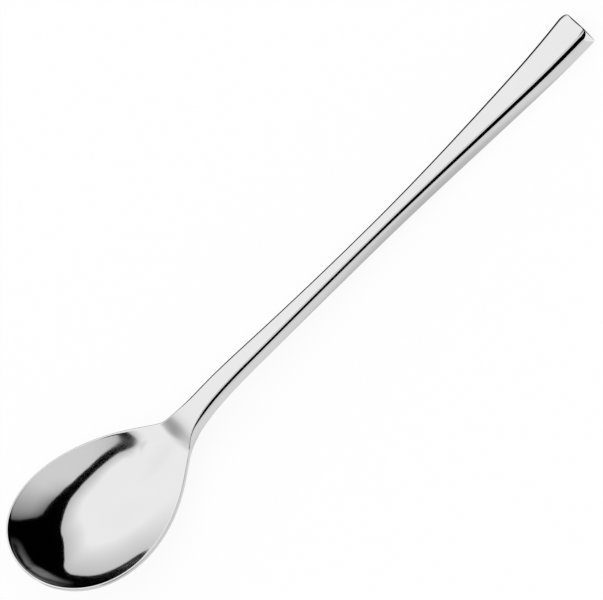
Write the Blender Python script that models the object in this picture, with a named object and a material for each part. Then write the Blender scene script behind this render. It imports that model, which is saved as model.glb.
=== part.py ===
"""A mirror-polished teaspoon: a thin pressed bowl, butt-welded at the neck to a thicker forged handle.

The spoon lies along X with the bowl at -X, rests on z = 0 on the bowl's belly and the handle's underside,
and is symmetric about y = 0. Distances named _AT are measured along X from the tip of the bowl.
"""

import math

import bmesh
import bpy
import numpy as np

# Plan outline: an egg for the bowl, a waisted bar for the handle, and a fillet between them.
TOP_LENGTH = 0.1397  # tip of the bowl to the top edge of the handle's end
BOWL_LENGTH = 0.0392  # tip to the point where the egg would close
BOWL_WIDTH = 0.0276
BOWL_TAPER = 0.168  # moves the egg's widest point towards the tip
BOWL_SWELL = 0.078  # fills the egg out at both ends
NECK_WIDTH = 0.0043
WAIST_WIDTH = 0.00295
END_WIDTH = 0.00717
NECK_FILLET = 0.0049
NECK_FLARE = 0.0002  # extra half-width that the neck gains as it nears the bowl
FLARE_RUN = 0.0070
CORNER_TOP = 0.00085  # the blunt end's corners in plan, round at the top and crisper at the foot
CORNER_FOOT = 0.0003

# Side view: the rim climbs to the tip, a steep shoulder and a longer ramp lead up the neck to a crest, and the handle
# sinks and lifts at its end.
BOWL_DEPTH = 0.0053
WALL_STRAIGHTNESS = 1.0  # how soon the bowl's rounded floor runs out into straight walls
TIP_RISE = 0.0079  # rim at the tip above the rim at the throat
SHOULDER_SLOPE = 0.85
RAMP_SLOPE = 0.346
THROAT_BLEND = 0.0011
SHOULDER_BLEND = 0.0014
CREST_BLEND = 0.0060
CREST_UNDERSIDE = 0.00455  # height of the handle's underside line at the crest
WAIST_UNDERSIDE = 0.00170
END_LIFT = 0.00102
END_LIFT_RUN = 0.0152

# Thicknesses, edges and the weld.
BOWL_WALL = 0.00115
NECK_THICKNESS = 0.0030
END_THICKNESS = 0.00375
SIDE_DRAFT = math.radians(7.0)  # the forged sides spread towards the underside
RIM_RADIUS = 0.00025
EDGE_BREAK = math.radians(27.0)  # how far the top edge turns over crisply before its soft roll starts
NECK_ROLL = 0.0012
END_ROLL = 0.0019
END_FACE_ROLL = 0.0005
FOOT_RADIUS = 0.00035
WELD_GAP = 0.0003

# Places along the spoon that follow from the bowl.
RAMP_AT = BOWL_LENGTH - 0.00615  # where the ramp, drawn on, would come down to the rim
SHOULDER_AT = BOWL_LENGTH - 0.0033
THROAT_AT = BOWL_LENGTH - 0.0027
NECK_AT = BOWL_LENGTH + 0.0055
WELD_AT = BOWL_LENGTH + 0.0060
FLARE_AT = BOWL_LENGTH + 0.0079
CREST_AT = BOWL_LENGTH + 0.0105
WAIST_AT = BOWL_LENGTH + 0.0455
GRIP_AT = TOP_LENGTH - 0.0147
THIN_TO = BOWL_LENGTH - 0.0045  # the wall keeps the bowl's thickness up to here
THICK_FROM = BOWL_LENGTH

# Facets.
TIP_SPOKES = 14
WALL_SPOKES = 10
SHOULDER_SPOKES = 14
HANDLE_SPOKES = 20
CORNER_SPOKES = 6
ROUND_STEPS = 5

STEEL_COLOUR = (0.62, 0.61, 0.59, 1.0)
STEEL_ROUGHNESS = 0.08


def smooth_max(a, b, blend):
    """The larger of the two, rounded over where they come within blend of each other."""
    near = np.maximum(blend - np.abs(a - b), 0) / blend
    return np.maximum(a, b) + near**3 * blend / 6


def smooth_min(a, b, blend):
    return -smooth_max(-a, -b, blend)


def ease(start, stop, x):
    """0 before start, 1 after stop, with a smooth change between them."""
    t = np.clip((x - start) / (stop - start), 0, 1)
    return t**3 * (t * (t * 6 - 15) + 10)


def egg_shape(c):
    """Half-width of the egg at c, which runs from 1 at the tip to -1 where the egg closes at the neck."""
    return np.sqrt(np.maximum(1 - c, 0)) * (1 + c) * (1 - BOWL_TAPER * c + BOWL_SWELL * c * c)


EGG_SAMPLES = np.linspace(1, -1, 4001)
EGG_FULL = egg_shape(EGG_SAMPLES).max()
WIDEST_AT = BOWL_LENGTH * (1 - EGG_SAMPLES[egg_shape(EGG_SAMPLES).argmax()]) / 2


def egg(x):
    return BOWL_WIDTH / 2 * egg_shape(1 - 2 * x / BOWL_LENGTH) / EGG_FULL


def bar(x):
    """Half-width of the handle: a hyperbola through the waist, out to the end one way and the neck the other."""
    waist = WAIST_WIDTH / 2
    to_end = ((END_WIDTH / 2) ** 2 - waist**2) / (TOP_LENGTH - WAIST_AT) ** 2
    to_neck = ((NECK_WIDTH / 2) ** 2 - waist**2) / (WAIST_AT - NECK_AT) ** 2
    spread = np.where(x > WAIST_AT, to_end, to_neck) * (x - WAIST_AT) ** 2
    flare = NECK_FLARE * (np.maximum(FLARE_AT - x, 0) / FLARE_RUN) ** 2
    return np.sqrt(np.maximum(waist**2 + spread, 0)) + flare


def half_width(x):
    """Plan outline. The handle takes no part in it on the tip's side of the bowl."""
    return smooth_max(egg(x), np.where(x < WIDEST_AT, -BOWL_WIDTH, bar(x)), NECK_FILLET)


def outward(x):
    """Unit normal of the outline in plan. Squared half-widths keep it true at the round tip."""
    step = 1e-5
    rise = (half_width(x + step) ** 2 - half_width(max(x - step, 0)) ** 2) / (2 * (x + step - max(x - step, 0)))
    return np.array([-rise, half_width(x)]) / math.hypot(rise, half_width(x))


def bar_thickness(x):
    return NECK_THICKNESS + (END_THICKNESS - NECK_THICKNESS) * (x - NECK_AT) / (TOP_LENGTH - NECK_AT)


def thickness(x):
    return BOWL_WALL + (bar_thickness(x) - BOWL_WALL) * ease(THIN_TO, THICK_FROM, x)


def rim_rise(x):
    return TIP_RISE * (np.maximum(THROAT_AT - x, 0) / THROAT_AT) ** 2


def hollow(x):
    """Depth of the bowl along its middle line."""
    return BOWL_DEPTH * (np.maximum(egg(x), 0) / (BOWL_WIDTH / 2)) ** 2


def sag(x):
    """The handle's underside line: a parabola by way of the crest, the waist and the grip, lifted at the end."""
    bend = CREST_UNDERSIDE * (x - WAIST_AT) * (x - GRIP_AT) / ((CREST_AT - WAIST_AT) * (CREST_AT - GRIP_AT))
    bend = bend + WAIST_UNDERSIDE * (x - CREST_AT) * (x - GRIP_AT) / ((WAIST_AT - CREST_AT) * (WAIST_AT - GRIP_AT))
    return bend + END_LIFT * (np.maximum(x - TOP_LENGTH + END_LIFT_RUN, 0) / END_LIFT_RUN) ** 2


# The belly and the handle both come down to z = 0, whatever the other sizes are.
BELLY_SAMPLES = np.linspace(0, BOWL_LENGTH, 801)
THROAT_HEIGHT = BOWL_WALL - np.min(rim_rise(BELLY_SAMPLES) - hollow(BELLY_SAMPLES))
HANDLE_DROP = np.min(sag(np.linspace(WAIST_AT, TOP_LENGTH, 801)))


def top_line(x):
    """Height of the rim and of the handle's top face, seen from the side."""
    shoulder = THROAT_HEIGHT + SHOULDER_SLOPE * (x - SHOULDER_AT)
    ramp = THROAT_HEIGHT + RAMP_SLOPE * (x - RAMP_AT)
    rim_and_neck = smooth_max(THROAT_HEIGHT + rim_rise(x), smooth_min(shoulder, ramp, SHOULDER_BLEND), THROAT_BLEND)
    return smooth_min(rim_and_neck, sag(x) - HANDLE_DROP + bar_thickness(x), CREST_BLEND)


def dish(x, y):
    """The top surface: flat across the handle, and a round-floored dish in the bowl that meets the rim all round."""
    across = y / np.maximum(half_width(x), 1e-9)
    climb = np.sqrt(1 + (WALL_STRAIGHTNESS * across) ** 2) - 1
    return top_line(x) - hollow(x) * (1 - climb / (math.sqrt(1 + WALL_STRAIGHTNESS**2) - 1))


def roll_radius(x):
    """Radius of the soft roll at the top edge: as crisp as the rim round the bowl, and softest at the handle's end."""
    soft = NECK_ROLL + (END_ROLL - NECK_ROLL) * np.clip((x - WAIST_AT) / (TOP_LENGTH - WAIST_AT), 0, 1)
    return RIM_RADIUS + (soft - RIM_RADIUS) * ease(THROAT_AT, NECK_AT, x)


def edge_profile(roll, depth, draft, lean, surface):
    """Inset and height of each step round an edge, given the height of the top surface at an inset."""
    steep = math.pi / 2 - EDGE_BREAK
    crisp_in = roll - (roll - RIM_RADIUS) * math.cos(steep)
    crisp_z = surface(crisp_in + RIM_RADIUS * math.sin(lean)) - RIM_RADIUS * math.cos(lean)
    roll_z = crisp_z - (roll - RIM_RADIUS) * math.sin(steep)
    # The straight side is as long as it takes for the lower rounding to run into the underside.
    side = max(depth - roll - FOOT_RADIUS, 0)
    for _ in range(8):
        foot_in = roll - (roll - FOOT_RADIUS) * math.cos(draft) - side * math.sin(draft)
        foot_z = surface(foot_in - FOOT_RADIUS * math.sin(lean)) - depth + FOOT_RADIUS * math.cos(lean)
        side = max((roll_z + (roll - FOOT_RADIUS) * math.sin(draft) - foot_z) / math.cos(draft), 0.00002)

    steps = []
    for angle in np.linspace(math.pi / 2 + lean, steep, ROUND_STEPS - 1):
        steps.append((crisp_in - RIM_RADIUS * math.cos(angle), crisp_z + RIM_RADIUS * math.sin(angle)))
    for angle in np.linspace(steep, draft, ROUND_STEPS)[1:]:
        steps.append((roll - roll * math.cos(angle), roll_z + roll * math.sin(angle)))
    for angle in np.linspace(draft, lean - math.pi / 2, ROUND_STEPS):
        steps.append((foot_in - FOOT_RADIUS * math.cos(angle), foot_z + FOOT_RADIUS * math.sin(angle)))
    return steps


def flank_edge(edge, out, roll):
    """Points round the edge at a place on the outline, in the upright plane through the outline's normal."""
    edge = np.array(edge)

    def surface(inset):
        return dish(*(edge - out * inset))

    # The dish meets the rim at a slope, so the rounding starts further round than on the flat handle.
    lean = math.atan(max((surface(0) - surface(RIM_RADIUS)) / RIM_RADIUS, 0))
    draft = SIDE_DRAFT * ease(THIN_TO, NECK_AT, edge[0])
    steps = edge_profile(roll, thickness(edge[0]), draft, lean, surface)
    return [(*(edge - out * inset), height) for inset, height in steps]


def end_edges():
    """Edges from the handle's flank round the corner and along the blunt end to its middle. Each step has a corner of its own."""
    depth = thickness(TOP_LENGTH)
    flank_steps = edge_profile(END_ROLL, depth, SIDE_DRAFT, 0.0, lambda inset: 0.0)
    face_steps = edge_profile(END_FACE_ROLL, depth, 0.0, 0.0, lambda inset: 0.0)
    radii = [CORNER_TOP] * (len(flank_steps) - ROUND_STEPS) + [CORNER_FOOT] * ROUND_STEPS
    flank = outward(TOP_LENGTH)
    turns = [(turn, 1.0) for turn in np.linspace(1, 0, CORNER_SPOKES)] + [(0.0, 0.5), (0.0, 0.0)]
    edges = []
    for turn, aside in turns:
        angle = turn * math.atan2(flank[1], flank[0])
        points = []
        for (flank_in, flank_drop), (face_in, face_drop), radius in zip(flank_steps, face_steps, radii):
            turn_x = TOP_LENGTH - face_in - radius * (1 - flank[0]) + flank_in * flank[0]
            start = np.array([turn_x, half_width(turn_x)]) - flank * flank_in
            x, y = start + radius * (np.array([math.cos(angle), math.sin(angle)]) - flank)
            drop = face_drop + (flank_drop - face_drop) * ease(0, 1, turn)
            points.append((x, y * aside, top_line(x) + drop))
        edges.append(points)
    return edges


def section(root_x, edge_points, across):
    """One spoke of the spoon: from the middle line over the top, round the edge and back under to the middle line."""
    points = []
    for t in np.linspace(0, 1, across, endpoint=False):
        x, y = np.array([root_x, 0.0]) * (1 - t) + np.array(edge_points[0][:2]) * t
        points.append((x, y, dish(x, y)))
    points.extend(edge_points)
    for t in np.linspace(1, 0, across + 1)[1:]:
        x, y = np.array([root_x, 0.0]) * (1 - t) + np.array(edge_points[-1][:2]) * t
        points.append((x, y, dish(x, y) - thickness(x)))
    return points


def bowl_spokes():
    """Spokes down one side of the bowl, from the weld to the tip."""
    spokes = []
    shoulder = np.linspace(WELD_AT - WELD_GAP / 2, THIN_TO, SHOULDER_SPOKES, endpoint=False)
    wall = np.linspace(THIN_TO, WIDEST_AT, WALL_SPOKES, endpoint=False)
    for x in np.concatenate([shoulder, wall]):
        # The outline's normal is turned square to the middle line by the time it reaches the weld, which is flat.
        out = outward(x)
        out[0] = out[0] * (1 - ease(THROAT_AT, WELD_AT - WELD_GAP, x))
        spokes.append((x, flank_edge((x, half_width(x)), out / np.linalg.norm(out), roll_radius(x))))
    for angle in np.linspace(math.pi / 2, 0, TIP_SPOKES):
        x = WIDEST_AT * (1 - math.cos(angle))
        spokes.append((WIDEST_AT, flank_edge((x, half_width(x)), outward(x), RIM_RADIUS)))
    return spokes


def handle_spokes():
    """Spokes down one side of the handle, from the weld round the corner to the middle of the blunt end."""
    square = np.array([0.0, 1.0])
    end_root = TOP_LENGTH - END_WIDTH / 2
    spokes = []
    for x in np.linspace(WELD_AT + WELD_GAP / 2, end_root, HANDLE_SPOKES):
        spokes.append((x, flank_edge((x, half_width(x)), square, roll_radius(x))))
    for edge_points in end_edges():
        spokes.append((end_root, edge_points))
    return spokes


def both_sides(spokes, across):
    """Sections from the weld on one side, round the far end, to the weld on the other side."""
    near = [section(*spoke, across) for spoke in spokes]
    far = [[(x, -y, z) for x, y, z in points] for points in near[-2::-1]]
    return near + far


def steel():
    material = bpy.data.materials.new("polished_stainless_steel")
    material.use_nodes = True
    shader = material.node_tree.nodes["Principled BSDF"]
    shader.inputs["Base Color"].default_value = STEEL_COLOUR
    shader.inputs["Metallic"].default_value = 1.0
    shader.inputs["Roughness"].default_value = STEEL_ROUGHNESS
    return material


def loft(name, sections, shift, weld_faces):
    """Skins sections that run anticlockwise from the weld, joins them along the middle line and closes the weld face."""
    shell = bmesh.new()
    rows = []
    for points in sections:
        rows.append([shell.verts.new((x - shift, y, z)) for x, y, z in points])
    for row, following in zip(rows, rows[1:]):
        for a, b, c, d in zip(row, row[1:], following[1:], following):
            shell.faces.new((a, b, c, d))
    bmesh.ops.remove_doubles(shell, verts=shell.verts, dist=1e-6)
    weld_edges = [edge for edge in shell.edges if edge.is_boundary]
    (weld_face,) = bmesh.ops.holes_fill(shell, edges=weld_edges, sides=0)["faces"]
    weld_face.normal_update()
    if weld_face.normal.x * weld_faces < 0:
        weld_face.normal_flip()
    bmesh.ops.poke(shell, faces=[weld_face])
    mesh = bpy.data.meshes.new(name)
    shell.to_mesh(mesh)
    shell.free()
    mesh.shade_smooth()
    mesh.set_sharp_from_angle(angle=math.radians(35))
    mesh.materials.append(steel())
    node = bpy.data.objects.new(name, mesh)
    bpy.context.scene.collection.objects.link(node)


for old in list(bpy.data.objects):
    bpy.data.objects.remove(old)

bowl_sections = both_sides(bowl_spokes(), 8)
handle_sections = both_sides(handle_spokes(), 2)[::-1]
end_x = max(x for points in handle_sections for x, y, z in points)
loft("bowl", bowl_sections, end_x / 2, 1)
loft("handle", handle_sections, end_x / 2, -1)
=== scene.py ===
import math

import bpy
from mathutils import Matrix, Vector


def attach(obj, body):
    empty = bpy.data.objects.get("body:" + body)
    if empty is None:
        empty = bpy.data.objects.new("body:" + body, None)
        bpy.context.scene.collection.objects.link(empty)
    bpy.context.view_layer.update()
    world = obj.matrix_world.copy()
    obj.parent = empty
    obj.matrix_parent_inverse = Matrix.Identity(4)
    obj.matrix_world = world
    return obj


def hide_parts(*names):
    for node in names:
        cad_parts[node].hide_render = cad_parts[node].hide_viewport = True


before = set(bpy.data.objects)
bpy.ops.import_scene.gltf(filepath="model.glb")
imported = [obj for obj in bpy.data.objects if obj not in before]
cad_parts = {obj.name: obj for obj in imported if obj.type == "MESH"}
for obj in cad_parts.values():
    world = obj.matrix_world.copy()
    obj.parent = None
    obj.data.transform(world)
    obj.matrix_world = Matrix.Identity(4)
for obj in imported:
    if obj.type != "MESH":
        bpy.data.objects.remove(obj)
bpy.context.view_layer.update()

# The spoon's skin: stainless steel, forged and pressed, then ground and buffed to a mirror as one surface,
# so the weld at the neck leaves no mark. One rule gives it: spokes run out from the middle line over the top,
# turn over the edge and come back under, all the way round an egg-shaped bowl and a waisted handle.
# Lengths are in metres and angles in radians, and places count from the tip of the bowl. The bowl's wall and
# the end's corners follow the photograph a little closer than the solids do.
SPOON_SIZES = {
    "Top length": 0.1397,
    "Bowl length": 0.0392,
    "Bowl width": 0.0276,
    "Bowl taper": 0.168,
    "Bowl swell": 0.078,
    "Egg peak": 1.04234,
    "Widest at": 0.01471,
    "Neck width": 0.0043,
    "Waist width": 0.00295,
    "End width": 0.00717,
    "Neck fillet": 0.0049,
    "Neck flare": 0.0002,
    "Flare run": 0.0070,
    "Flare at": 0.0471,
    "Corner top": 0.0016,
    "Corner foot": 0.0003,
    "Bowl depth": 0.0053,
    "Wall straightness": 1.3,
    "Tip rise": 0.0079,
    "Throat height": 0.00435,
    "Throat at": 0.0365,
    "Throat blend": 0.0011,
    "Shoulder slope": 0.85,
    "Shoulder at": 0.0359,
    "Shoulder blend": 0.0014,
    "Ramp slope": 0.346,
    "Ramp at": 0.03305,
    "Crest blend": 0.0060,
    "Crest underside": 0.00455,
    "Crest at": 0.0497,
    "Waist underside": 0.0017,
    "Waist at": 0.0847,
    "Grip at": 0.125,
    "Handle drop": -0.0000131,
    "End lift": 0.00102,
    "End lift run": 0.0152,
    "Bowl wall": 0.00115,
    "Thin to": 0.0347,
    "Thick from": 0.0392,
    "Neck at": 0.0447,
    "Neck thickness": 0.0030,
    "End thickness": 0.00375,
    "Side draft": math.radians(7.0),
    "Rim radius": 0.00025,
    "Edge break": math.radians(27.0),
    "Neck roll": 0.0012,
    "End roll": 0.0019,
    "End face roll": 0.0005,
    "Foot radius": 0.00035,
    "Weld at": 0.0452,
    "Middle at": 0.06985,
}
# Steps of the mesh along each stretch of half the outline, and along each stretch of a spoke.
OUTLINE_STEPS = {"tip": 110, "shoulder": 130, "bar": 110, "flank": 10, "corner": 20, "end": 16}
SPOKE_STEPS = {"top": 42, "break": 9, "roll": 14, "side": 4, "foot": 9, "under": 24}
HALF_STEP = 0.5
LEAST_WIDTH = 1e-7
SLOPE_STEP = 5e-5
SETTLING_ROUNDS = 3
MERGE_DISTANCE = 1e-6

spoon_rule = bpy.data.node_groups.new("Spoon rule", "GeometryNodeTree")
spoon_rule.is_modifier = True
spoon_rule.interface.new_socket("Geometry", in_out="OUTPUT", socket_type="NodeSocketGeometry")
spoon_rule.interface.new_socket("Bowl side", in_out="INPUT", socket_type="NodeSocketBool")
spoon_rule.interface.new_socket("Steel", in_out="INPUT", socket_type="NodeSocketMaterial")
for name in SPOON_SIZES:
    spoon_rule.interface.new_socket(name, in_out="INPUT", socket_type="NodeSocketFloat")
rule_input = spoon_rule.nodes.new("NodeGroupInput")
rule_output = spoon_rule.nodes.new("NodeGroupOutput")


def rule_node(kind, inputs=(), output=0, **settings):
    """A node of the rule, with its settings and its linked or plain inputs. Gives the wanted output."""
    node = spoon_rule.nodes.new(kind)
    for setting, value in settings.items():
        setattr(node, setting, value)
    for key, value in dict(inputs).items():
        if isinstance(value, Number):
            value = value.socket
        if isinstance(value, bpy.types.NodeSocket):
            spoon_rule.links.new(value, node.inputs[key])
        else:
            node.inputs[key].default_value = value
    return node.outputs[output]


class Number:
    """A number that the rule works out at each point of the mesh, so that formulas read as formulas."""

    def __init__(self, socket):
        self.socket = socket

    def __add__(self, other):
        return work("ADD", self, other)

    def __radd__(self, other):
        return work("ADD", other, self)

    def __sub__(self, other):
        return work("SUBTRACT", self, other)

    def __rsub__(self, other):
        return work("SUBTRACT", other, self)

    def __mul__(self, other):
        return work("MULTIPLY", self, other)

    def __rmul__(self, other):
        return work("MULTIPLY", other, self)

    def __truediv__(self, other):
        return work("DIVIDE", self, other)

    def __neg__(self):
        return work("MULTIPLY", self, -1.0)


def work(operation, *terms):
    return Number(rule_node("ShaderNodeMath", enumerate(terms), operation=operation))


def pick(test, yes, no):
    choice = {"Switch": test, "True": yes, "False": no}
    return Number(rule_node("GeometryNodeSwitch", choice, input_type="FLOAT"))


def run_up(x, start, stop, interpolation="LINEAR"):
    """0 before start and 1 after stop."""
    ends = {"Value": x, "From Min": start, "From Max": stop, "To Min": 0.0, "To Max": 1.0}
    return Number(rule_node("ShaderNodeMapRange", ends, interpolation_type=interpolation, clamp=True))


def ease(x, start, stop):
    return run_up(x, start, stop, "SMOOTHERSTEP")


def square(x):
    return x * x


size = {name: Number(rule_input.outputs[name]) for name in SPOON_SIZES}


def egg(x):
    """Half-width of the bowl's egg in plan, at x from the tip."""
    c = 1.0 - 2.0 * x / size["Bowl length"]
    shape = work("SQRT", work("MAXIMUM", 1.0 - c, 0.0)) * (c + 1.0)
    skew = 1.0 - size["Bowl taper"] * c + size["Bowl swell"] * square(c)
    return size["Bowl width"] * 0.5 * shape * skew / size["Egg peak"]


def half_width(x):
    """The egg, the waisted bar of the handle, and the fillet that runs one into the other."""
    waist = square(size["Waist width"] * 0.5)
    to_end = (square(size["End width"] * 0.5) - waist) / square(size["Top length"] - size["Waist at"])
    to_neck = (square(size["Neck width"] * 0.5) - waist) / square(size["Waist at"] - size["Neck at"])
    spread = pick(work("GREATER_THAN", x, size["Waist at"]), to_end, to_neck) * square(x - size["Waist at"])
    flare = size["Neck flare"] * square(work("MAXIMUM", size["Flare at"] - x, 0.0) / size["Flare run"])
    bar = work("SQRT", waist + spread) + flare
    bar = pick(work("LESS_THAN", x, size["Widest at"]), -size["Bowl width"], bar)
    return work("SMOOTH_MAX", egg(x), bar, size["Neck fillet"])


def bar_thickness(x):
    along = (x - size["Neck at"]) / (size["Top length"] - size["Neck at"])
    return size["Neck thickness"] + (size["End thickness"] - size["Neck thickness"]) * along


def thickness(x):
    thickening = ease(x, size["Thin to"], size["Thick from"])
    return size["Bowl wall"] + (bar_thickness(x) - size["Bowl wall"]) * thickening


def top_line(x):
    """Side view of rim and top face: up to the tip, up the shoulder and the ramp, over the crest and down."""
    towards_tip = work("MAXIMUM", size["Throat at"] - x, 0.0) / size["Throat at"]
    rim_line = size["Throat height"] + size["Tip rise"] * square(towards_tip)
    shoulder = size["Throat height"] + size["Shoulder slope"] * (x - size["Shoulder at"])
    ramp = size["Throat height"] + size["Ramp slope"] * (x - size["Ramp at"])
    neck = work("SMOOTH_MIN", shoulder, ramp, size["Shoulder blend"])
    crest, waist, grip = size["Crest at"], size["Waist at"], size["Grip at"]
    sag = size["Crest underside"] * (x - waist) * (x - grip) / ((crest - waist) * (crest - grip))
    sag = sag + size["Waist underside"] * (x - crest) * (x - grip) / ((waist - crest) * (waist - grip))
    lift = work("MAXIMUM", x - size["Top length"] + size["End lift run"], 0.0) / size["End lift run"]
    sag = sag + size["End lift"] * square(lift) - size["Handle drop"]
    before_crest = work("SMOOTH_MAX", rim_line, neck, size["Throat blend"])
    return work("SMOOTH_MIN", before_crest, sag + bar_thickness(x), size["Crest blend"])


def dish(x, y):
    """Height of the top surface: flat across the handle, and a round-floored hollow in the bowl."""
    hollow = size["Bowl depth"] * square(work("MAXIMUM", egg(x), 0.0) / (size["Bowl width"] * 0.5))
    across = size["Wall straightness"] * y / work("MAXIMUM", half_width(x), LEAST_WIDTH)
    whole_climb = work("SQRT", square(size["Wall straightness"]) + 1.0) - 1.0
    climb = (work("SQRT", square(across) + 1.0) - 1.0) / whole_climb
    return top_line(x) - hollow * (1.0 - climb)


# A flat grid carries two counts: steps round the outline from the tip, and steps along a spoke from the
# middle line.
half_steps = sum(OUTLINE_STEPS.values())
spoke_steps = sum(SPOKE_STEPS.values())
grid_counts = {"Vertices X": 2 * half_steps + 1, "Vertices Y": spoke_steps + 1}
grid = rule_node("GeometryNodeMeshGrid", grid_counts, "Mesh")
place = rule_node("ShaderNodeSeparateXYZ", {0: rule_node("GeometryNodeInputPosition")}, "X").node.outputs
round_from_tip = half_steps * (1.0 - work("ABSOLUTE", Number(place["X"]) * 2.0))
along_spoke = (Number(place["Y"]) + 0.5) * spoke_steps
side = work("SIGN", Number(place["X"]))


def stretch(count, steps, name):
    """Share of the named stretch that the count has passed."""
    before = sum(list(steps.values())[: list(steps).index(name)])
    return run_up(count, float(before), float(before + steps[name]))


rim, foot = size["Rim radius"], size["Foot radius"]
steep = math.pi / 2 - size["Edge break"]
down_side = stretch(along_spoke, SPOKE_STEPS, "side")


def edge_profile(roll, depth, draft, lean, surface):
    """Inset and height, at this step of the spoke, of an edge: a crisp break, a soft roll, a drafted side and
    a small rounding into the underside. surface gives the height of the top at an inset."""
    break_in = roll - (roll - rim) * work("COSINE", steep)
    break_z = surface(break_in + rim * work("SINE", lean)) - rim * work("COSINE", lean)
    roll_z = break_z - (roll - rim) * work("SINE", steep)
    side_length = depth - roll - foot
    for _ in range(SETTLING_ROUNDS):
        foot_in = roll - (roll - foot) * work("COSINE", draft) - side_length * work("SINE", draft)
        foot_z = surface(foot_in - foot * work("SINE", lean)) - depth + foot * work("COSINE", lean)
        side_length = (roll_z + (roll - foot) * work("SINE", draft) - foot_z) / work("COSINE", draft)
    first = lean + math.pi / 2
    angle = first + (steep - first) * stretch(along_spoke, SPOKE_STEPS, "break")
    in_break, z_break = break_in - rim * work("COSINE", angle), break_z + rim * work("SINE", angle)
    angle = steep + (draft - steep) * stretch(along_spoke, SPOKE_STEPS, "roll")
    in_roll, z_roll = roll - roll * work("COSINE", angle), roll_z + roll * work("SINE", angle)
    angle = draft + (lean - math.pi / 2 - draft) * stretch(along_spoke, SPOKE_STEPS, "foot")
    in_foot, z_foot = foot_in - foot * work("COSINE", angle), foot_z + foot * work("SINE", angle)
    in_side, z_side = in_roll + (in_foot - in_roll) * down_side, z_roll + (z_foot - z_roll) * down_side
    on_break = work("LESS_THAN", along_spoke, SPOKE_STEPS["top"] + SPOKE_STEPS["break"] + HALF_STEP)
    return pick(on_break, in_break, in_side), pick(on_break, z_break, z_side)


def fall(x):
    """How fast the outline closes in, times its half-width. With the half-width it gives the outline's
    normal, even at the tip."""
    behind, ahead = work("MAXIMUM", x - SLOPE_STEP, 0.0), x + SLOPE_STEP
    return (square(half_width(behind)) - square(half_width(ahead))) / (2.0 * (ahead - behind))


def flat(inset):
    """The level top that the end's own edge profiles hang from."""
    return 0.0


# The blunt end: every step of the edge turns a corner of its own, rounder at the top than at the foot.
end_root = size["Top length"] - size["End width"] * 0.5
end_depth = thickness(size["Top length"])
flank_in, flank_drop = edge_profile(size["End roll"], end_depth, size["Side draft"], 0.0, flat)
face_in, face_drop = edge_profile(size["End face roll"], end_depth, 0.0, 0.0, flat)
corner = size["Corner top"] + (size["Corner foot"] - size["Corner top"]) * down_side
end_fall, end_half = fall(size["Top length"]), half_width(size["Top length"])
end_out_x = end_fall / work("SQRT", square(end_fall) + square(end_half))
end_out_y = end_half / work("SQRT", square(end_fall) + square(end_half))
turn_x = size["Top length"] - face_in - corner * (1.0 - end_out_x) + flank_in * end_out_x
before_corner = half_steps - OUTLINE_STEPS["end"] - OUTLINE_STEPS["corner"]
before_flank = before_corner - OUTLINE_STEPS["flank"]
turn = 1.0 - stretch(round_from_tip, OUTLINE_STEPS, "corner")
turn_angle = work("ARCTAN2", end_half, end_fall) * turn

# The outline: a fan of spokes round the tip, square spokes along the handle, and a fan round the end.
tip_turn = stretch(round_from_tip, OUTLINE_STEPS, "tip") * (math.pi / 2)
flank_x = size["Widest at"] * (1.0 - work("COSINE", tip_turn))
flank_x = flank_x + (size["Weld at"] - size["Widest at"]) * stretch(round_from_tip, OUTLINE_STEPS, "shoulder")
flank_x = flank_x + (end_root - size["Weld at"]) * stretch(round_from_tip, OUTLINE_STEPS, "bar")
flank_x = flank_x + (turn_x - end_root) * stretch(round_from_tip, OUTLINE_STEPS, "flank")
flank_y = half_width(flank_x)
root_x = work("MINIMUM", work("MAXIMUM", flank_x, size["Widest at"]), end_root)
towards_end = ease(round_from_tip, float(before_flank), float(before_corner))
out_x = fall(flank_x) * (1.0 - ease(flank_x, size["Throat at"], size["Weld at"]))
out_length = work("SQRT", square(out_x) + square(flank_y))
out_x = out_x / out_length + end_out_x * towards_end
out_y = flank_y / out_length + (end_out_y - 1.0) * towards_end


def surface(inset):
    return dish(flank_x - out_x * inset, flank_y - out_y * inset)


widening = run_up(flank_x, size["Waist at"], size["Top length"])
roll = size["Neck roll"] + (size["End roll"] - size["Neck roll"]) * widening
roll = rim + (roll - rim) * ease(flank_x, size["Throat at"], size["Neck at"])
draft = size["Side draft"] * ease(flank_x, size["Thin to"], size["Neck at"])
lean = work("ARCTANGENT", work("MAXIMUM", (top_line(flank_x) - surface(rim)) / rim, 0.0))
inset, edge_z = edge_profile(roll, thickness(flank_x), draft, lean, surface)
at_end = work("GREATER_THAN", round_from_tip, before_flank + HALF_STEP)
at_face = work("GREATER_THAN", round_from_tip, before_corner + HALF_STEP)
inset = pick(at_end, inset + (flank_in - inset) * towards_end, inset)
edge_x = flank_x - out_x * inset + pick(at_face, corner * (work("COSINE", turn_angle) - end_out_x), 0.0)
edge_y = flank_y - out_y * inset + pick(at_face, corner * (work("SINE", turn_angle) - end_out_y), 0.0)
edge_y = edge_y * (1.0 - stretch(round_from_tip, OUTLINE_STEPS, "end"))
end_drop = face_drop + (flank_drop - face_drop) * ease(turn, 0.0, 1.0)
edge_z = edge_z + (top_line(edge_x) + end_drop - edge_z) * towards_end

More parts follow.
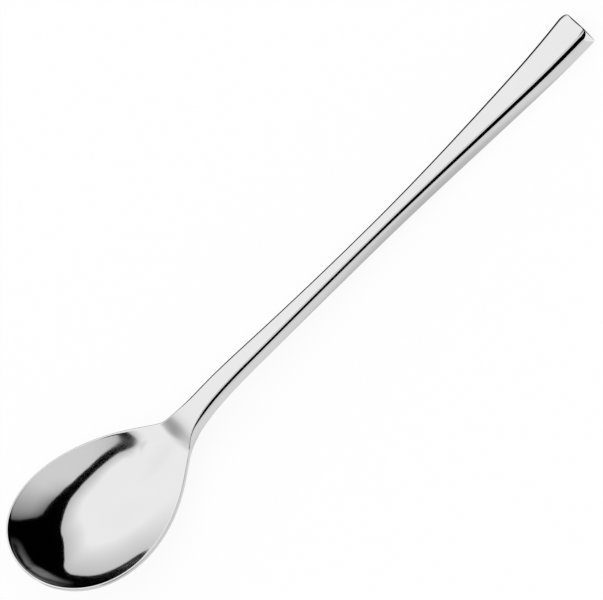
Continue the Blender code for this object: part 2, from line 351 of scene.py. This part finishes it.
# Over the top and back under, a spoke is straight in plan and follows the dish.
under = stretch(along_spoke, SPOKE_STEPS, "under")
on_top = work("LESS_THAN", along_spoke, SPOKE_STEPS["top"] - HALF_STEP)
on_under = work("GREATER_THAN", under, HALF_STEP / SPOKE_STEPS["under"])
share = pick(on_top, stretch(along_spoke, SPOKE_STEPS, "top"), 1.0 - under)
sheet_x = root_x + (edge_x - root_x) * share
sheet_y = edge_y * share
sheet_z = dish(sheet_x, sheet_y) - pick(on_top, 0.0, thickness(sheet_x))
on_sheet = work("MAXIMUM", on_top, on_under)
point_x = pick(on_sheet, sheet_x, edge_x) - size["Middle at"]
point_y = pick(on_sheet, sheet_y, edge_y) * side
point_z = pick(on_sheet, sheet_z, edge_z)
point = rule_node("ShaderNodeCombineXYZ", {"X": point_x, "Y": point_y, "Z": point_z})
skin = rule_node("GeometryNodeSetPosition", {"Geometry": grid, "Position": point})
skin = rule_node("GeometryNodeMergeByDistance", {"Geometry": skin, "Distance": MERGE_DISTANCE})
skin = rule_node("GeometryNodeSetShadeSmooth", {"Geometry": skin})

# The whole skin's normals are kept, so the two halves still shade as one surface after they part at the weld.
whole_normal = rule_node("GeometryNodeInputNormal")
kept_normal = {"Geometry": skin, "Name": "skin_normal", "Value": whole_normal}
skin = rule_node("GeometryNodeStoreNamedAttribute", kept_normal, data_type="FLOAT_VECTOR", domain="POINT")
weld_x = size["Weld at"] - size["Middle at"]
here_x = rule_node("ShaderNodeSeparateXYZ", {0: rule_node("GeometryNodeInputPosition")}, "X")
on_bowl = {"Geometry": skin, "Selection": work("LESS_THAN", Number(here_x), weld_x)}
halves = rule_node("GeometryNodeSeparateGeometry", on_bowl, "Selection", domain="FACE").node.outputs
wanted = {"Switch": rule_input.outputs["Bowl side"], "True": halves["Selection"], "False": halves["Inverted"]}
half = rule_node("GeometryNodeSwitch", wanted, input_type="GEOMETRY")

# The open ring that parting leaves at the weld is closed by a fan of faces to its middle.
in_one_face = {"A": rule_node("GeometryNodeInputMeshEdgeNeighbors"), "B": 1}
weld_ring = rule_node("FunctionNodeCompare", in_one_face, data_type="INT", operation="EQUAL")
weld_z = top_line(size["Weld at"]) - thickness(size["Weld at"]) * 0.5
weld_middle = rule_node("ShaderNodeCombineXYZ", {"X": weld_x, "Y": 0.0, "Z": weld_z})
from_here = {0: weld_middle, 1: rule_node("GeometryNodeInputPosition")}
inwards = rule_node("ShaderNodeVectorMath", from_here, operation="SUBTRACT")
fan = {"Mesh": half, "Selection": weld_ring, "Offset": inwards, "Offset Scale": 1.0}
half = rule_node("GeometryNodeExtrudeMesh", fan, mode="EDGES")
half = rule_node("GeometryNodeMergeByDistance", {"Geometry": half, "Distance": MERGE_DISTANCE})
half = rule_node("GeometryNodeRealizeInstances", {"Geometry": half})
half = rule_node("GeometryNodeSetMaterial", {"Geometry": half, "Material": rule_input.outputs["Steel"]})
spoon_rule.links.new(half, rule_output.inputs["Geometry"])

# Mirror-buffed stainless steel: a neutral bright metal with faint cloudiness and the finest lengthwise
# buffing marks.
steel = bpy.data.materials.new("mirror_buffed_steel")
steel.use_nodes = True
steel_nodes, steel_links = steel.node_tree.nodes, steel.node_tree.links
shader = steel_nodes["Principled BSDF"]
shader.inputs["Metallic"].default_value = 1.0
where = steel_nodes.new("ShaderNodeTexCoord").outputs["Object"]
cloud = steel_nodes.new("ShaderNodeTexNoise")
cloud.inputs["Scale"].default_value = 160.0
cloud.inputs["Detail"].default_value = 3.0
steel_links.new(where, cloud.inputs["Vector"])
tone = steel_nodes.new("ShaderNodeMix")
tone.data_type = "RGBA"
tone.inputs["A"].default_value = (0.80, 0.80, 0.80, 1.0)
tone.inputs["B"].default_value = (0.83, 0.83, 0.83, 1.0)
steel_links.new(cloud.outputs["Fac"], tone.inputs["Factor"])
steel_links.new(tone.outputs["Result"], shader.inputs["Base Color"])
drawn_out = steel_nodes.new("ShaderNodeMapping")
drawn_out.inputs["Scale"].default_value = (120.0, 4000.0, 4000.0)
steel_links.new(where, drawn_out.inputs["Vector"])
marks = steel_nodes.new("ShaderNodeTexNoise")
marks.inputs["Scale"].default_value = 1.0
marks.inputs["Detail"].default_value = 2.0
steel_links.new(drawn_out.outputs["Vector"], marks.inputs["Vector"])
gloss = steel_nodes.new("ShaderNodeMapRange")
gloss.inputs["To Min"].default_value = 0.03
gloss.inputs["To Max"].default_value = 0.07
steel_links.new(marks.outputs["Fac"], gloss.inputs["Value"])
steel_links.new(gloss.outputs["Result"], shader.inputs["Roughness"])

# A face belongs to the flat cap at the weld if it faces along the spoon and lies this close to the weld.
SQUARE_ON = 0.999
WELD_CLOSENESS = 1e-5


def skin_piece(name, bowl_side):
    """One half of the skin as a plain mesh that keeps the whole skin's normals."""
    piece = bpy.data.objects.new(name, bpy.data.meshes.new(name))
    bpy.context.scene.collection.objects.link(piece)
    modifier = piece.modifiers.new("Spoon rule", "NODES")
    modifier.node_group = spoon_rule
    values = {"Bowl side": bowl_side, "Steel": steel, **SPOON_SIZES}
    for item in spoon_rule.interface.items_tree:
        if item.in_out == "INPUT":
            modifier[item.identifier] = values[item.name]
    graph = bpy.context.evaluated_depsgraph_get()
    mesh = bpy.data.meshes.new_from_object(piece.evaluated_get(graph), depsgraph=graph)
    piece.modifiers.clear()
    piece.data = mesh
    kept = [Vector(value.vector) for value in mesh.attributes["skin_normal"].data]
    mesh.attributes.remove(mesh.attributes["skin_normal"])
    corner_normals = [None] * len(mesh.loops)
    weld_place = SPOON_SIZES["Weld at"] - SPOON_SIZES["Middle at"]
    for face in mesh.polygons:
        capped = abs(face.normal.x) > SQUARE_ON and abs(face.center.x - weld_place) < WELD_CLOSENESS
        for corner in face.loop_indices:
            corner_normals[corner] = face.normal if capped else kept[mesh.loops[corner].vertex_index]
    mesh.normals_split_custom_set([normal[:] for normal in corner_normals])
    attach(piece, "root")
    return piece


# The bowl: a thin sheet pressed into a dish whose crisp rim climbs towards the tip, with a solid shoulder
# that rises out of it into the neck, where it is butt-welded to the handle.
bowl = skin_piece("bowl_skin", True)
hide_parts("bowl")

# The handle: a forged bar, waisted in the middle, with a flat top, softly rolled upper edges, drafted sides
# and a blunt end. Its neck end is ground flush with the bowl's.
handle = skin_piece("handle_skin", False)
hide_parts("handle")

# The table: a plain white sheet, mostly lit from below, so it keeps only a soft shadow.
TABLE_HALF = 3.0
TABLE_DROP = 0.00002
LIT_FROM_BELOW = 0.88
table_corners = [(x * TABLE_HALF, y * TABLE_HALF, 0.0) for x, y in ((-1, -1), (1, -1), (1, 1), (-1, 1))]
floor_mesh = bpy.data.meshes.new("white_table")
floor_mesh.from_pydata(table_corners, [], [(0, 1, 2, 3)])
floor = bpy.data.objects.new("white_table", floor_mesh)
bpy.context.scene.collection.objects.link(floor)
floor.location.z = -TABLE_DROP
table_white = bpy.data.materials.new("table_white")
table_white.use_nodes = True
table_nodes, table_links = table_white.node_tree.nodes, table_white.node_tree.links
table_nodes.clear()
sheet_matt = table_nodes.new("ShaderNodeBsdfDiffuse")
sheet_matt.inputs["Color"].default_value = (0.97, 0.97, 0.97, 1.0)
sheet_glow = table_nodes.new("ShaderNodeEmission")
sheet_glow.inputs["Color"].default_value = (1.0, 1.0, 1.0, 1.0)
ray = table_nodes.new("ShaderNodeLightPath")
seen = table_nodes.new("ShaderNodeMath")
seen.operation = "MAXIMUM"
table_links.new(ray.outputs["Is Camera Ray"], seen.inputs[0])
table_links.new(ray.outputs["Is Glossy Ray"], seen.inputs[1])
seen_through = table_nodes.new("ShaderNodeMath")
seen_through.operation = "MAXIMUM"
table_links.new(seen.outputs[0], seen_through.inputs[0])
table_links.new(ray.outputs["Is Transmission Ray"], seen_through.inputs[1])
part_lit = table_nodes.new("ShaderNodeMath")
part_lit.operation = "MULTIPLY"
part_lit.inputs[1].default_value = LIT_FROM_BELOW
table_links.new(seen_through.outputs[0], part_lit.inputs[0])
table_mix = table_nodes.new("ShaderNodeMixShader")
table_links.new(part_lit.outputs[0], table_mix.inputs["Fac"])
table_links.new(sheet_matt.outputs[0], table_mix.inputs[1])
table_links.new(sheet_glow.outputs[0], table_mix.inputs[2])
table_out = table_nodes.new("ShaderNodeOutputMaterial")
table_links.new(table_mix.outputs[0], table_out.inputs["Surface"])
floor_mesh.materials.append(table_white)

# The light tent: plain white all round, at the level of white paper.
world = bpy.data.worlds.new("white_tent")
bpy.context.scene.world = world
world.use_nodes = True
world.node_tree.nodes["Background"].inputs["Color"].default_value = (1.0, 1.0, 1.0, 1.0)
world.node_tree.nodes["Background"].inputs["Strength"].default_value = 1.0

# Cards in the tent, which only reflections see. They are painted reflections: each glows at its tone, or is
# black, and nothing else sees it. Each is a band between rows of corners. A corner has a tone, so a card can
# fade. On the tent's wall a corner's place is a zenith and an azimuth in degrees, seen from the bowl, and a
# row passes smoothly through its corners.
CARD_REACH = 1.2
FRONT_REACH = 1.19
TABLE_LEVEL = 90.2
SHEET_LIFT = 0.0003
STRIP_LIFT = 0.0005
bowl_middle = Vector((-0.050, 0.0, 0.005))


def through(t, before, start, stop, after):
    """The value at the share t of the way from start to stop, on a smooth curve through all four."""
    bow = 2 * before - 5 * start + 4 * stop - after
    twist = 3 * (start - stop) + after - before
    return start + 0.5 * t * (stop - before + t * (bow + t * twist))


def smooth_row(corners, parts=6):
    """More corners along a row, on a curve that passes through the given ones."""
    row = []
    last = len(corners) - 1
    for i in range(last):
        nearby = (corners[max(i - 1, 0)], corners[i], corners[i + 1], corners[min(i + 2, last)])
        for part in range(parts):
            row.append([through(part / parts, *values) for values in zip(*nearby)])
    return row + [list(corners[-1])]


def card(name, rows):
    """A card of painted reflection that only reflections see, between rows of (place, tone)."""
    count = len(rows[0])
    faces = []
    for first in range(0, (len(rows) - 1) * count, count):
        for i in range(first, first + count - 1):
            faces.append((i, i + 1, i + count + 1, i + count))
    mesh = bpy.data.meshes.new(name)
    mesh.from_pydata([place for row in rows for place, tone in row], [], faces)
    tones = mesh.attributes.new("tone", "FLOAT", "POINT")
    tones.data.foreach_set("value", [tone for row in rows for place, tone in row])
    flag = bpy.data.objects.new(name, mesh)
    bpy.context.scene.collection.objects.link(flag)
    flag.visible_camera = flag.visible_diffuse = flag.visible_shadow = flag.visible_transmission = False
    mesh.materials.append(painted_reflection_paint)


def in_tent(corners, reach=CARD_REACH):
    """A row on the tent's wall, smooth through corners given as (zenith, azimuth, tone)."""
    row = []
    for zenith, azimuth, tone in smooth_row(corners):
        z, a = math.radians(zenith), math.radians(azimuth)
        towards = Vector((math.sin(z) * math.cos(a), math.sin(z) * math.sin(a), math.cos(z)))
        row.append((bowl_middle + reach * towards, max(tone, 0.0)))
    return row


def on_table(corners, lift=SHEET_LIFT):
    """A row just over the table, through corners given as (x, y, tone)."""
    return [(Vector((x, y, lift)), max(tone, 0.0)) for x, y, tone in corners]


# The cards' paint glows at each corner's tone: painted reflections, with no lamp behind them.
painted_reflection_paint = bpy.data.materials.new("painted_reflection_paint")
painted_reflection_paint.use_nodes = True
painted_reflection_paint.node_tree.nodes.clear()
card_tone = painted_reflection_paint.node_tree.nodes.new("ShaderNodeAttribute")
card_tone.attribute_name = "tone"
card_glow = painted_reflection_paint.node_tree.nodes.new("ShaderNodeEmission")
card_out = painted_reflection_paint.node_tree.nodes.new("ShaderNodeOutputMaterial")
painted_reflection_paint.node_tree.links.new(card_tone.outputs["Fac"], card_glow.inputs["Color"])
painted_reflection_paint.node_tree.links.new(card_glow.outputs[0], card_out.inputs["Surface"])

# The dark of the room, below the white roof: a slot over the grey front flap, the front under that flap, and
# the whole side at +X. It fades out beyond the tip.
room_azimuths = [
    -182, -176, -169, -160, -150, -130, -110, -90, -70, -50, -30, -20, -8,
    0, 10, 20, 30, 40, 45, 50, 55, 65, 75, 82, 85.5, 88,
]
room_roof = [
    27.5, 27, 26.2, 25.1, 24, 21.2, 19.6, 19.3, 20.8, 24, 30.5, 34.3, 40,
    44.5, 50.5, 55.5, 63.5, 75, 83, 88, 89.4, 90, 89, 88, 88, 88,
]
room_tones = [1, 0.5, 0.05] + [0] * 19 + [0.01, 0.03, 0.08, 0.65]
room_steps = 8
room_rows = []
for step in range(room_steps + 1):
    corners = []
    for roof, azimuth, tone in zip(room_roof, room_azimuths, room_tones):
        corners.append((roof + (TABLE_LEVEL - roof) * step / room_steps, azimuth, tone))
    room_rows.append(in_tent(corners))
card("dark_room", room_rows)

# The grey front flap hangs in front of it. It dims towards its upper edge near the dark side, where its end
# leans over and fades. Its foot is cut away in the middle, and the dark there draws the handle's black line.
flap_azimuths = [-190, -176, -163, -150, -130, -112, -102, -96, -82, -76, -66, -58, -50, -40]
flap_head = [27.5, 27.2, 26.6, 26, 24.6, 23.4, 23.1, 23.1, 24, 24.7, 26.2, 28, 30.7, 34.5]
flap_foot = [TABLE_LEVEL] * 6 + [50, 45, 45, 50] + [TABLE_LEVEL] * 4
flap_tones = [1, 0.62, 0.52, 0.58, 0.68, 0.73] + [0.74] * 6 + [0.73, 0.7]
flap_dims = [1] * 11 + [0.9, 0.8, 0.66]
# Each row's drop below the head and its share of the dimming, then its tone and its places at the flap's end.
flap_drops = ((0.0, 1.0), (3.0, 0.5), (7.0, 0.0), (99.0, 0.0))
flap_end = (
    (0.28, ((40, -30), (46.5, -20), (50.5, -14.5))),
    (0.40, ((43.5, -28.5), (50.5, -17.5), (54.5, -11.5))),
    (0.52, ((48, -27), (55, -15), (60, -9))),
    (0.63, ((68.5, -27), (65.5, -12.5), (66.5, -5.5))),
)
end_shares = (1.0, 0.5, 0.0)
end_tone = 0.1
flap_rows = []
for (drop, dimming), (grey, places) in zip(flap_drops, flap_end):
    corners = []
    for azimuth, head, lowest, tone, dim in zip(flap_azimuths, flap_head, flap_foot, flap_tones, flap_dims):
        corners.append((min(head + drop, lowest), azimuth, tone * (1 - (1 - dim) * dimming)))
    for (zenith, azimuth), share in zip(places, end_shares):
        corners.append((zenith, azimuth, end_tone + (grey - end_tone) * share))
    flap_rows.append(in_tent(corners, FRONT_REACH))
card("grey_front_flap", flap_rows)

# A faint grey strip low on the dark side. Its lower edge is the sharp one. A column is (azimuth, zenith of
# the top, zenith of the foot, tone, share of the tone right at the foot).
strip_columns = (
    (5, 73, 74.5, 0, 0),
    (11, 76.5, 78.5, 0.065, 0),
    (17, 80, 83.5, 0.11, 0),
    (24, 83.5, 88, 0.16, 0),
    (28, 85.5, 90, 0.17, 0),
    (31, 86.5, TABLE_LEVEL, 0.175, 1),
    (36, 88, TABLE_LEVEL, 0.18, 1),
    (41, 90, TABLE_LEVEL, 0.1, 1),
)
strip_rows = []
for down, share in ((0.0, 0.0), (0.25, 0.3), (0.5, 0.7), (0.85, 1.0), (1.0, None)):
    corners = []
    for azimuth, top, lowest, tone, foot_share in strip_columns:
        kept_share = foot_share if share is None else share
        corners.append((top + (lowest - top) * down, azimuth, tone * kept_share))
    strip_rows.append(in_tent(corners, FRONT_REACH))
card("grey_strip", strip_rows)

# The strip runs on over the black card of painted shade on the table. A row has its loss of tone, or None at
# the edge where all tone is lost, and its places in millimetres. Each column has its tone and the share of
# the loss that it takes.
sheet_tones = (0.18, 0.2, 0.21, 0.2, 0.17, 0.06, 0.0)
sheet_falls = (0.0, 0.72, 1.0, 1.0, 1.0, 1.0, 1.0)
sheet_places = (
    (None, ((215, 163), (86, 104), (53, 92), (46.5, 101.5), (43, 106), (40, 112.5), (30, 112))),
    (0.0, ((370, 260), (112, 127), (59, 102), (45.5, 106), (40, 110), (34, 114.5), (28, 115))),
    (0.13, ((520, 355), (220, 221), (78, 127), (48, 116), (39, 118), (31, 118), (26, 117))),
    (0.45, ((700, 470), (430, 405), (112, 170), (53, 129), (40, 127), (28.5, 121), (24, 119))),
    (1.0, ((1060, 690), (800, 730), (145, 212), (58.5, 145), (38.5, 135), (25.5, 124), (22, 121))),
)
sheet_rows = []
for loss, places in sheet_places:
    corners = []
    for (x, y), tone, taken in zip(places, sheet_tones, sheet_falls):
        corners.append((x / 1000, y / 1000, 0.0 if loss is None else tone * (1 - taken * loss)))
    sheet_rows.append(on_table(smooth_row(corners), STRIP_LIFT))
card("grey_strip_on_table", sheet_rows)

# The roof dims towards its edge, over the slot and over the dark side, and on past the dark's end.
roof_azimuths = room_azimuths + [103, 120]
roof_edges = room_roof + [90.1, 90.1]
roof_dims = [
    3, 3, 3, 3.5, 5, 6, 7, 8, 9, 10, 12, 13, 15,
    17, 20, 23, 27, 30, 31, 30, 29, 27, 24, 22, 21, 20, 17, 12,
]
roof_tones = [1, 0.85, 0.65] + [0.6] * 18 + [0.62, 0.65, 0.66, 0.67, 0.68, 0.82, 1]
dim_start = [(edge - dim, azimuth, 1.0) for edge, dim, azimuth in zip(roof_edges, roof_dims, roof_azimuths)]
card("roof_edge", [in_tent(dim_start), in_tent(list(zip(roof_edges, roof_azimuths, roof_tones)))])

# The tent dims softly towards the table beyond the tip. Each azimuth takes its share of the dimming.
dim_azimuths = [122, 130, 139, 143, 146, 149, 153, 157, 161, 170, 182]
dim_shares = [0, 0.2, 0.38, 0.42, 0.58, 0.8, 1, 1, 0.85, 0.5, 0]
dim_zeniths = [31, 37, 43, 50, 59, 68, 76, 83, TABLE_LEVEL]
dim_tones = [1, 0.92, 0.8, 0.67, 0.57, 0.48, 0.42, 0.4, 0.4]
dim_rows = []
for zenith, tone in zip(dim_zeniths, dim_tones):
    corners = [(zenith, azimuth, 1 - (1 - tone) * share) for azimuth, share in zip(dim_azimuths, dim_shares)]
    dim_rows.append(in_tent(corners))
card("dim_tip_side", dim_rows)

# Painted shade on the table, seen only in reflections: a black card lies just over the white table beyond the
# spoon, from an edge that steps out past the bowl, and a dark grey one lies beyond the end.
painted_shade_edges = ((0.0005, -0.0385), (0.012, -0.0385), (0.016, -0.075), (0.2, -0.075), (1.2, 0.0))
card("painted_shade_table", [on_table([(x, y, 0.0) for x in (edge, 0.08, 1.2)]) for y, edge in painted_shade_edges])
card("painted_shade_table_end", [on_table([(x, y, 0.1) for x in (0.07, 0.08, 1.2)]) for y in (-0.0035, 0.0005)])

# A grey sheet, seen only in reflections, lies on the near side of the white table: a painted reflection,
# darkest by the handle as painted shade where the handle meets the table. A row is (y along the spoon, y at
# the handle's end, tone).
grey_and_painted_shade_bands = (
    (-0.0005, -0.0005, 0.5),
    (-0.0032, -0.0025, 0.56),
    (-0.0039, -0.0031, 0.62),
    (-0.005, -0.0037, 0.77),
    (-0.007, -0.006, 0.8),
    (-0.012, -0.012, 0.73),
    (-0.022, -0.022, 0.68),
    (-0.04, -0.04, 0.74),
    (-0.2, -0.2, 0.85),
)
grey_rows = []
for y, end_y, tone in grey_and_painted_shade_bands:
    grey_rows.append(on_table([(-0.2, y, tone), (0.03, y, tone), (0.0695, end_y, tone)]))
card("grey_sheet_and_painted_shade", grey_rows)

# A small black card stands round the near corner of the handle's end, so that the dark line along the edge
# turns the corner.
end_card_radius = 0.04
end_card_middle = Vector((0.066, -0.002, 0.0))
end_card_rows = []
for height in (0.0005, 0.02, 0.042):
    row = []
    for angle in range(-84, 12, 6):
        a = math.radians(angle)
        round_end = Vector((end_card_radius * math.cos(a), end_card_radius * math.sin(a), height))
        row.append((end_card_middle + round_end, 0.0))
    end_card_rows.append(row)
card("dark_end_card", end_card_rows)

# The camera: a long lens above the near side, turned so that the handle runs to the upper right.
TILT = math.radians(28.0)
ROLL = math.radians(-46.01)
CAMERA_DISTANCE = 1.0
aim = Vector((-0.00049, 0.00314, 0.0))
back = Vector((0.0, -math.sin(TILT), math.cos(TILT)))
level, upward = Vector((1.0, 0.0, 0.0)), Vector((0.0, math.cos(TILT), math.sin(TILT)))
right = math.cos(ROLL) * level + math.sin(ROLL) * upward
up = math.cos(ROLL) * upward - math.sin(ROLL) * level
lens = bpy.data.cameras.new("camera")
lens.lens = 330.13
lens.sensor_width = 36.0
lens.sensor_fit = "HORIZONTAL"
camera = bpy.data.objects.new("camera", lens)
bpy.context.scene.collection.objects.link(camera)
turned = Matrix((right, up, back)).transposed().to_4x4()
camera.matrix_world = Matrix.Translation(aim + CAMERA_DISTANCE * back) @ turned
bpy.context.scene.camera = camera
bpy.context.scene.view_settings.view_transform = "Standard"
